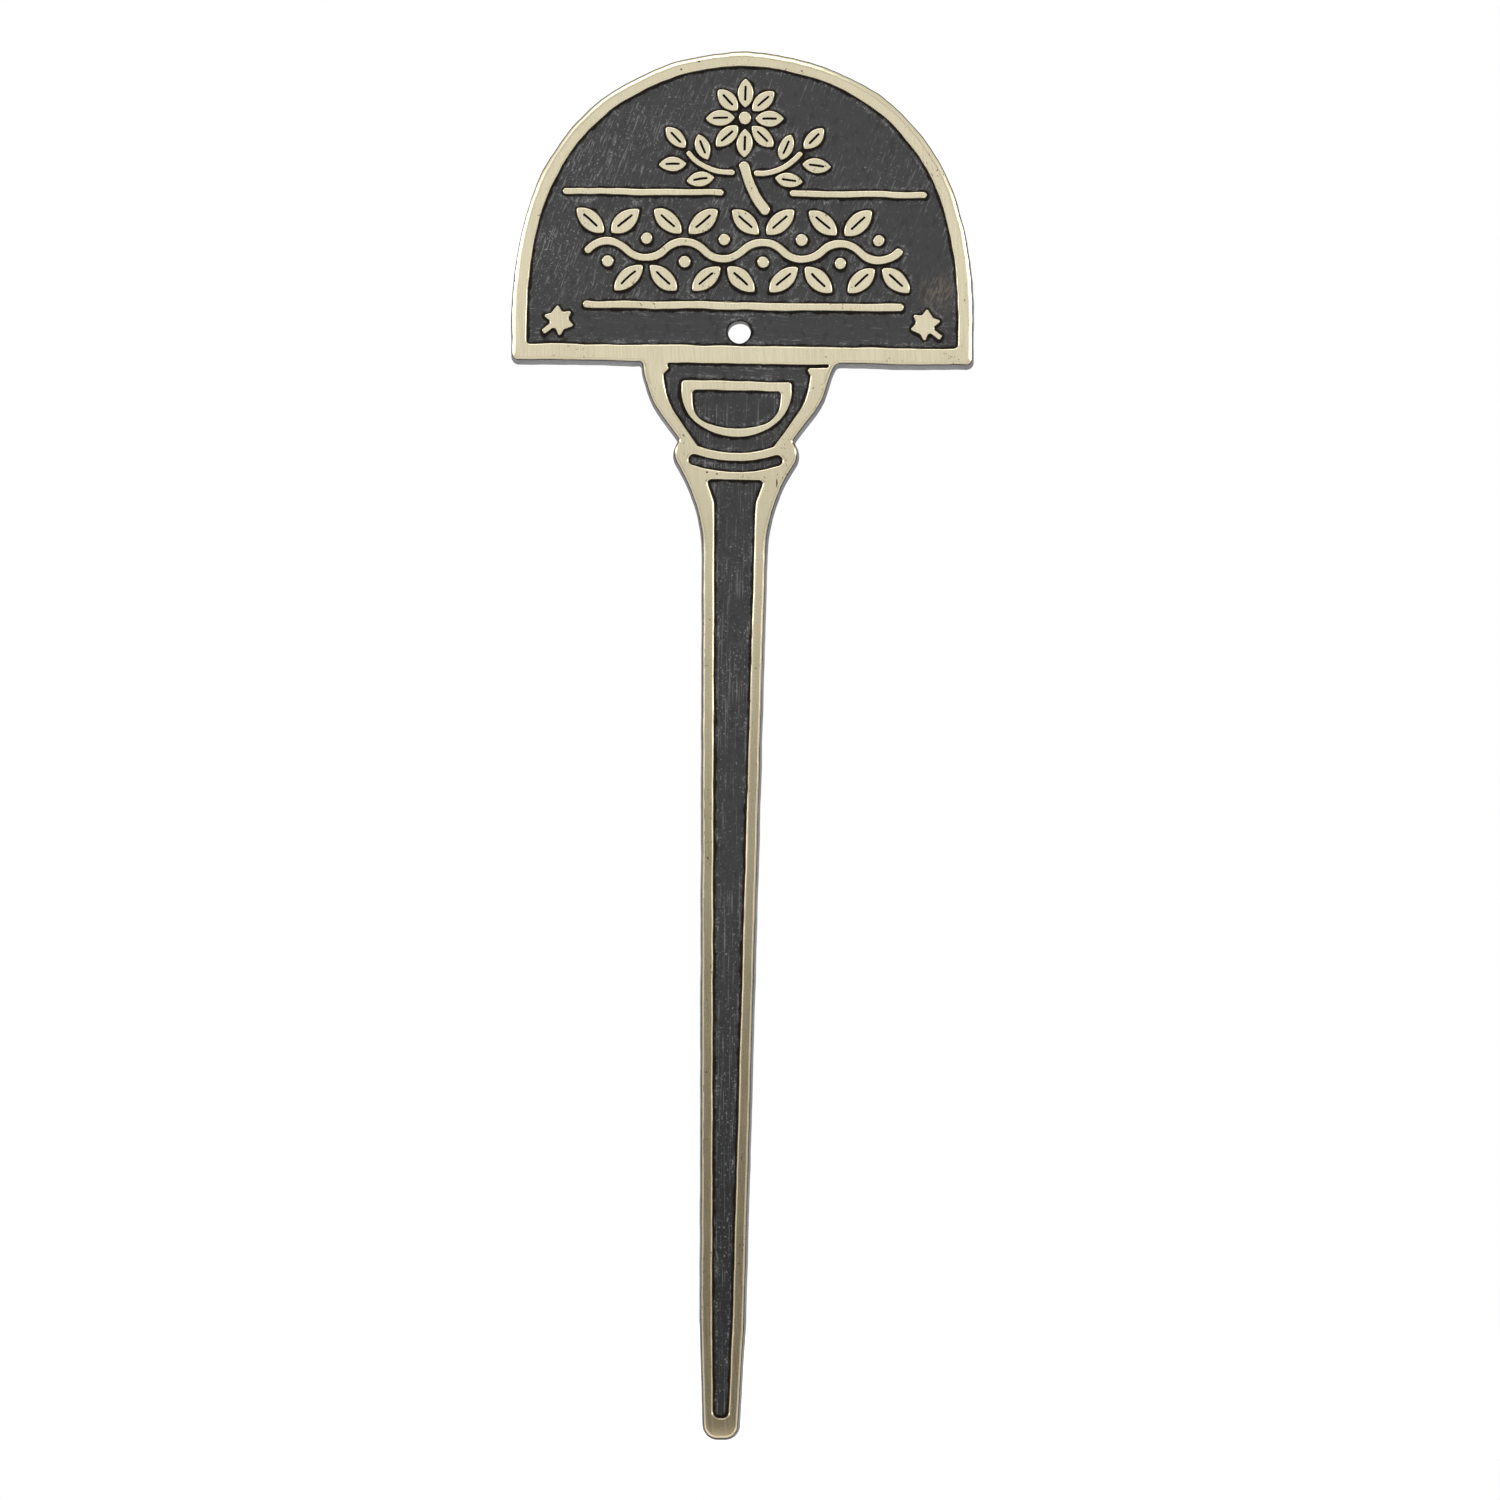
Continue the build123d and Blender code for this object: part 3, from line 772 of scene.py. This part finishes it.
def makeFloor():
    bm = bmesh.new()
    bmesh.ops.create_grid(bm, x_segments=1, y_segments=1, size=0.5)
    bmesh.ops.scale(bm, vec=(2 * stage["side"], stage["back"] + stage["front"], 1), verts=bm.verts[:])
    middle = (stage["back"] - stage["front"]) / 2
    bmesh.ops.translate(bm, vec=(0, middle, stage["level"]), verts=bm.verts[:])
    mesh = bpy.data.meshes.new("paleFloor")
    bm.to_mesh(mesh)
    bm.free()
    floor = bpy.data.objects.new("paleFloor", mesh)
    scene.collection.objects.link(floor)
    material = bpy.data.materials.new("paleFloor")
    material.use_nodes = True
    tree = material.node_tree
    tree.nodes.clear()
    rays = tree.nodes.new("ShaderNodeLightPath").outputs
    seen = math2(tree, "MAXIMUM", rays["Is Camera Ray"], rays["Is Transmission Ray"])
    seen = math2(tree, "MAXIMUM", seen, rays["Is Glossy Ray"])
    strength = times(tree, seen, stage["white"])
    glow = addNode(tree, "ShaderNodeEmission", {"Color": (1, 1, 1, 1), "Strength": strength})
    matt = addNode(tree, "ShaderNodeBsdfDiffuse", {"Color": stage["grey"]})
    both = addNode(tree, "ShaderNodeAddShader", {0: glow.outputs[0], 1: matt.outputs[0]})
    addNode(tree, "ShaderNodeOutputMaterial", {"Surface": both.outputs[0]})
    mesh.materials.append(material)


surroundings = {  # slopes are sines of the angle above the floor
    "sides": 1.0,
    "above": 0.75,
    "aboveSlope": (0.2, 0.7),
    "strips": 3.0,  # added at the left and the right
    "stripEdge": (0.30, 0.80),
    "stripFoot": (0.08, 0.15),
    "stripTop": (0.30, 0.45),
    "floor": 1.0,
    "floorSlope": -0.20,
    "low": 0.10,
    "lowSlope": -0.03,
    "high": 0.52,
    "highSlope": 0.12,
    "panel": 3.3,  # a light panel in front, this much brighter
    "panelFoot": (0.10, 0.145),
    "panelTop": (0.148, 0.188),
    "panelEnd": 0.36,  # and dimmer above it
    "frontEdge": (-0.975, -0.75),
}


def makeWorld():
    world = bpy.data.worlds.new("studio")
    scene.world = world
    world.use_nodes = True
    tree = world.node_tree
    tree.nodes.clear()
    way = axes(tree, tree.nodes.new("ShaderNodeTexCoord").outputs["Generated"])
    up = way["Z"]
    low = surroundings["low"]
    lowSlope = surroundings["lowSlope"]
    slopes = {"Value": up, "From Min": lowSlope, "From Max": surroundings["highSlope"]}
    levels = {"To Min": low, "To Max": surroundings["high"]}
    ahead = addNode(tree, "ShaderNodeMapRange", slopes | levels).outputs[0]
    ahead = times(tree, ahead, ramp(tree, up, *surroundings["panelFoot"], 1.0, surroundings["panel"]))
    ahead = times(tree, ahead, ramp(tree, up, *surroundings["panelTop"], 1.0, surroundings["panelEnd"]))
    nearFloor = ramp(tree, up, surroundings["floorSlope"], lowSlope, surroundings["floor"], low)
    ahead = math2(tree, "MAXIMUM", ahead, nearFloor)

    around = ramp(tree, up, *surroundings["aboveSlope"], surroundings["sides"], surroundings["above"])
    across = addNode(tree, "ShaderNodeMath", {0: way["X"]}, operation="ABSOLUTE").outputs[0]
    strips = ramp(tree, across, *surroundings["stripEdge"], 0.0, surroundings["strips"])
    strips = times(tree, strips, ramp(tree, up, *surroundings["stripFoot"]))
    strips = times(tree, strips, fall(tree, up, *surroundings["stripTop"]))
    around = math2(tree, "ADD", around, strips)
    light = mixValue(tree, fall(tree, way["Y"], *surroundings["frontEdge"]), around, ahead)
    rays = tree.nodes.new("ShaderNodeLightPath").outputs
    seen = math2(tree, "MAXIMUM", rays["Is Camera Ray"], rays["Is Transmission Ray"])
    strength = mixValue(tree, seen, light, 1.0)
    glow = addNode(tree, "ShaderNodeBackground", {"Color": (1, 1, 1, 1), "Strength": strength})
    addNode(tree, "ShaderNodeOutputWorld", {"Surface": glow.outputs[0]})


softbox = {  # metres
    "place": (-0.2, -0.72, 1.0),
    "aim": (0, 0, 0.17),
    "size": (0.8, 0.6),
    "level": 1.9,
}


def makeSoftbox():
    data = bpy.data.lights.new("softbox", "AREA")
    data.shape = "RECTANGLE"
    data.size, data.size_y = softbox["size"]
    data.energy = softbox["level"] * math.pi * data.size * data.size_y
    lamp = bpy.data.objects.new("softbox", data)
    place = Vector(softbox["place"])
    lamp.location = place
    lamp.rotation_euler = (Vector(softbox["aim"]) - place).to_track_quat("-Z", "Y").to_euler()
    scene.collection.objects.link(lamp)


makeFloor()
makeWorld()
makeSoftbox()
print("stage and light made")


# camera: long lens, a little below the middle and looking up, as in the photograph

camera = {
    "aim": (2.6, -2.31, 123.2),  # mm
    "distance": 1200.0,
    "around": 1.0,  # degrees
    "above": -4.5,
    "roll": 0.87,
    "lens": 160.7,
    "clipEnd": 20.0,  # metres
}


def makeCamera():
    around = math.radians(camera["around"])
    above = math.radians(camera["above"])
    level = math.cos(above)
    away = Vector((math.sin(around) * level, -math.cos(around) * level, math.sin(above)))
    right = Vector((math.cos(around), math.sin(around), 0))
    up = away.cross(right)
    turn = Matrix((right, up, away)).transposed() @ Matrix.Rotation(math.radians(camera["roll"]), 3, "Z")
    data = bpy.data.cameras.new("camera")
    data.lens = camera["lens"]
    data.clip_end = camera["clipEnd"]
    body = bpy.data.objects.new("camera", data)
    place = (Vector(camera["aim"]) + away * camera["distance"]) * mm
    body.matrix_world = Matrix.Translation(place) @ turn.to_4x4()
    scene.collection.objects.link(body)
    scene.camera = body
    print("camera at", [round(v / mm, 1) for v in place])


makeCamera()
